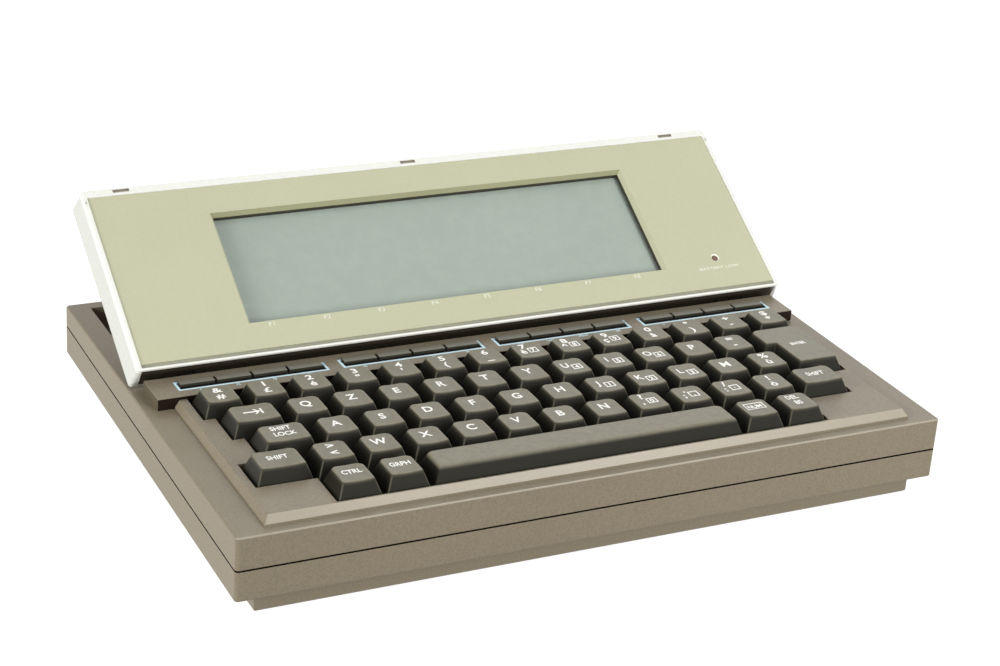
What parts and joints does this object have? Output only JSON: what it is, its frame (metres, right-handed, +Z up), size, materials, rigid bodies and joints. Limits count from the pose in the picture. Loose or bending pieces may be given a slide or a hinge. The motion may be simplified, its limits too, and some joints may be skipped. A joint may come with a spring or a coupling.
{
  "type": "slate notebook computer",
  "caption": "Slate-form notebook computer: shallow two-part case, full keyboard, function-key bar, and a liquid-crystal display unit that tilts up from a well in the rear.",
  "frame": {"origin": "on the floor under the middle of the case", "axes": "+X to the user's right, +Y to the back, +Z up"},
  "size_m": [0.3, 0.212, 0.0918],
  "materials": {
    "case_plastic": "fine-textured matte",
    "cover_plastic": "fine-textured matte",
    "display_cover_plastic": "satin",
    "trim_plastic": "gloss",
    "rim_plastic": "gloss",
    "face_plastic": "satin",
    "crystal_glass": "semi-gloss polariser on glass",
    "frame_paint": "matte",
    "bright_metal": "bright",
    "screw_steel": "zinc",
    "plate_steel": "satin",
    "circuit_board": "satin",
    "chip_plastic": "matte",
    "switch_plastic": "matte",
    "key_plastic": "satin",
    "bar_key_plastic": "satin",
    "control_plastic": "matte",
    "port_metal": "tinned",
    "port_plastic": "matte",
    "foot_rubber": "matte",
    "cell_jacket": "printed jacket",
    "lamp_lens": "gloss"
  },
  "bodies": {
    "case": {"lower_case": "case_plastic", "upper_case": "case_plastic", "option_cover": "cover_plastic", "option_screw": "screw_steel", "rubber_feet": "foot_rubber", "case_screws": "screw_steel", "power_switch_body": "chip_plastic", "contrast_body": "chip_plastic", "reset_switch": "chip_plastic", "serial_port": "port_metal", "printer_port": "port_plastic", "barcode_port": "port_metal", "cassette_jack": "port_plastic", "power_jack": "port_plastic", "main_board": "circuit_board", "board_chips": "chip_plastic", "board_screws": "screw_steel", "backup_battery": "cell_jacket", "buzzer": "chip_plastic", "battery_cells": "cell_jacket", "battery_contacts": "bright_metal", "keyboard_plate": "plate_steel", "key_switches": "switch_plastic", "function_switches": "chip_plastic", "keyboard_board": "circuit_board", "keyboard_screws": "screw_steel"},
    "display_unit": {"display_frame": "rim_plastic", "display_face": "face_plastic", "lcd_glass": "crystal_glass", "lcd_frame": "frame_paint", "lcd_board": "circuit_board", "display_rear_cover": "display_cover_plastic", "hinge_cover": "trim_plastic", "battery_led": "lamp_lens", "display_screws": "screw_steel", "hinge_pins": "screw_steel"},
    "key_row_digits_body": {"key_row_digits": "key_plastic"},
    "key_row_upper_body": {"key_row_upper": "key_plastic"},
    "key_row_home_body": {"key_row_home": "key_plastic"},
    "key_row_lower_body": {"key_row_lower": "key_plastic"},
    "key_tab_body": {"key_tab": "key_plastic"},
    "key_shift_lock_body": {"key_shift_lock": "key_plastic"},
    "key_shift_left_body": {"key_shift_left": "key_plastic"},
    "key_shift_right_body": {"key_shift_right": "key_plastic"},
    "key_ctrl_body": {"key_ctrl": "key_plastic"},
    "key_graph_body": {"key_graph": "key_plastic"},
    "key_num_body": {"key_num": "key_plastic"},
    "key_del_body": {"key_del": "key_plastic"},
    "space_bar_body": {"space_bar": "key_plastic"},
    "key_enter_body": {"key_enter": "key_plastic"},
    "function_keys_1_body": {"function_keys_1": "bar_key_plastic"},
    "function_keys_2_body": {"function_keys_2": "bar_key_plastic"},
    "function_keys_3_body": {"function_keys_3": "bar_key_plastic"},
    "function_keys_4_body": {"function_keys_4": "bar_key_plastic"},
    "battery_door_body": {"battery_door": "cover_plastic"},
    "power_switch_knob_body": {"power_switch_knob": "control_plastic"},
    "contrast_wheel_body": {"contrast_wheel": "control_plastic"},
    "reset_button_body": {"reset_button": "control_plastic"},
    "memory_switch_knob_body": {"memory_switch_knob": "control_plastic"}
  },
  "joints": [
    {"name": "display_tilt", "type": "hinge", "parent": "case", "child": "display_unit", "pos_m": [0, 0.0185, 0.0385], "axis": [1, 0, 0], "range_deg": [-31, 8]},
    {"name": "key_row_digits_press", "type": "slide", "parent": "case", "child": "key_row_digits_body", "axis": [0, 0, -1], "range_m": [0, 0.004], "stiffness_N_per_m": 300, "springref_m": -0.004},
    {"name": "key_row_upper_press", "type": "slide", "parent": "case", "child": "key_row_upper_body", "axis": [0, 0, -1], "range_m": [0, 0.004], "stiffness_N_per_m": 300, "springref_m": -0.004},
    {"name": "key_row_home_press", "type": "slide", "parent": "case", "child": "key_row_home_body", "axis": [0, 0, -1], "range_m": [0, 0.004], "stiffness_N_per_m": 300, "springref_m": -0.004},
    {"name": "key_row_lower_press", "type": "slide", "parent": "case", "child": "key_row_lower_body", "axis": [0, 0, -1], "range_m": [0, 0.004], "stiffness_N_per_m": 300, "springref_m": -0.004},
    {"name": "key_tab_press", "type": "slide", "parent": "case", "child": "key_tab_body", "axis": [0, 0, -1], "range_m": [0, 0.004], "stiffness_N_per_m": 100, "springref_m": -0.004},
    {"name": "key_shift_lock_press", "type": "slide", "parent": "case", "child": "key_shift_lock_body", "axis": [0, 0, -1], "range_m": [0, 0.004], "stiffness_N_per_m": 100, "springref_m": -0.004},
    {"name": "key_shift_left_press", "type": "slide", "parent": "case", "child": "key_shift_left_body", "axis": [0, 0, -1], "range_m": [0, 0.004], "stiffness_N_per_m": 100, "springref_m": -0.004},
    {"name": "key_shift_right_press", "type": "slide", "parent": "case", "child": "key_shift_right_body", "axis": [0, 0, -1], "range_m": [0, 0.004], "stiffness_N_per_m": 100, "springref_m": -0.004},
    {"name": "key_ctrl_press", "type": "slide", "parent": "case", "child": "key_ctrl_body", "axis": [0, 0, -1], "range_m": [0, 0.004], "stiffness_N_per_m": 100, "springref_m": -0.004},
    {"name": "key_graph_press", "type": "slide", "parent": "case", "child": "key_graph_body", "axis": [0, 0, -1], "range_m": [0, 0.004], "stiffness_N_per_m": 100, "springref_m": -0.004},
    {"name": "key_num_press", "type": "slide", "parent": "case", "child": "key_num_body", "axis": [0, 0, -1], "range_m": [0, 0.004], "stiffness_N_per_m": 100, "springref_m": -0.004},
    {"name": "key_del_press", "type": "slide", "parent": "case", "child": "key_del_body", "axis": [0, 0, -1], "range_m": [0, 0.004], "stiffness_N_per_m": 100, "springref_m": -0.004},
    {"name": "space_bar_press", "type": "slide", "parent": "case", "child": "space_bar_body", "axis": [0, 0, -1], "range_m": [0, 0.004], "stiffness_N_per_m": 100, "springref_m": -0.004},
    {"name": "key_enter_press", "type": "slide", "parent": "case", "child": "key_enter_body", "axis": [0, 0, -1], "range_m": [0, 0.004], "stiffness_N_per_m": 100, "springref_m": -0.004},
    {"name": "function_keys_1_press", "type": "slide", "parent": "case", "child": "function_keys_1_body", "axis": [0, 0, -1], "range_m": [0, 0.0015], "stiffness_N_per_m": 300, "springref_m": -0.002},
    {"name": "function_keys_2_press", "type": "slide", "parent": "case", "child": "function_keys_2_body", "axis": [0, 0, -1], "range_m": [0, 0.0015], "stiffness_N_per_m": 300, "springref_m": -0.002},
    {"name": "function_keys_3_press", "type": "slide", "parent": "case", "child": "function_keys_3_body", "axis": [0, 0, -1], "range_m": [0, 0.0015], "stiffness_N_per_m": 300, "springref_m": -0.002},
    {"name": "function_keys_4_press", "type": "slide", "parent": "case", "child": "function_keys_4_body", "axis": [0, 0, -1], "range_m": [0, 0.0015], "stiffness_N_per_m": 300, "springref_m": -0.002},
    {"name": "battery_door_slide", "type": "slide", "parent": "case", "child": "battery_door_body", "axis": [-1, 0, 0], "range_m": [0, 0.06]},
    {"name": "power_switch_slide", "type": "slide", "parent": "case", "child": "power_switch_knob_body", "axis": [0, 1, 0], "range_m": [0, 0.005]},
    {"name": "contrast_turn", "type": "hinge", "parent": "case", "child": "contrast_wheel_body", "pos_m": [0.1428, 0.006, 0.01818], "axis": [0, 0, 1], "range_deg": [-135, 135]},
    {"name": "reset_press", "type": "slide", "parent": "case", "child": "reset_button_body", "axis": [0, -1, 0], "range_m": [0, 0.0012], "stiffness_N_per_m": 200, "springref_m": -0.001},
    {"name": "memory_switch_slide", "type": "slide", "parent": "case", "child": "memory_switch_knob_body", "axis": [1, 0, 0], "range_m": [0, 0.004]}
  ]
}
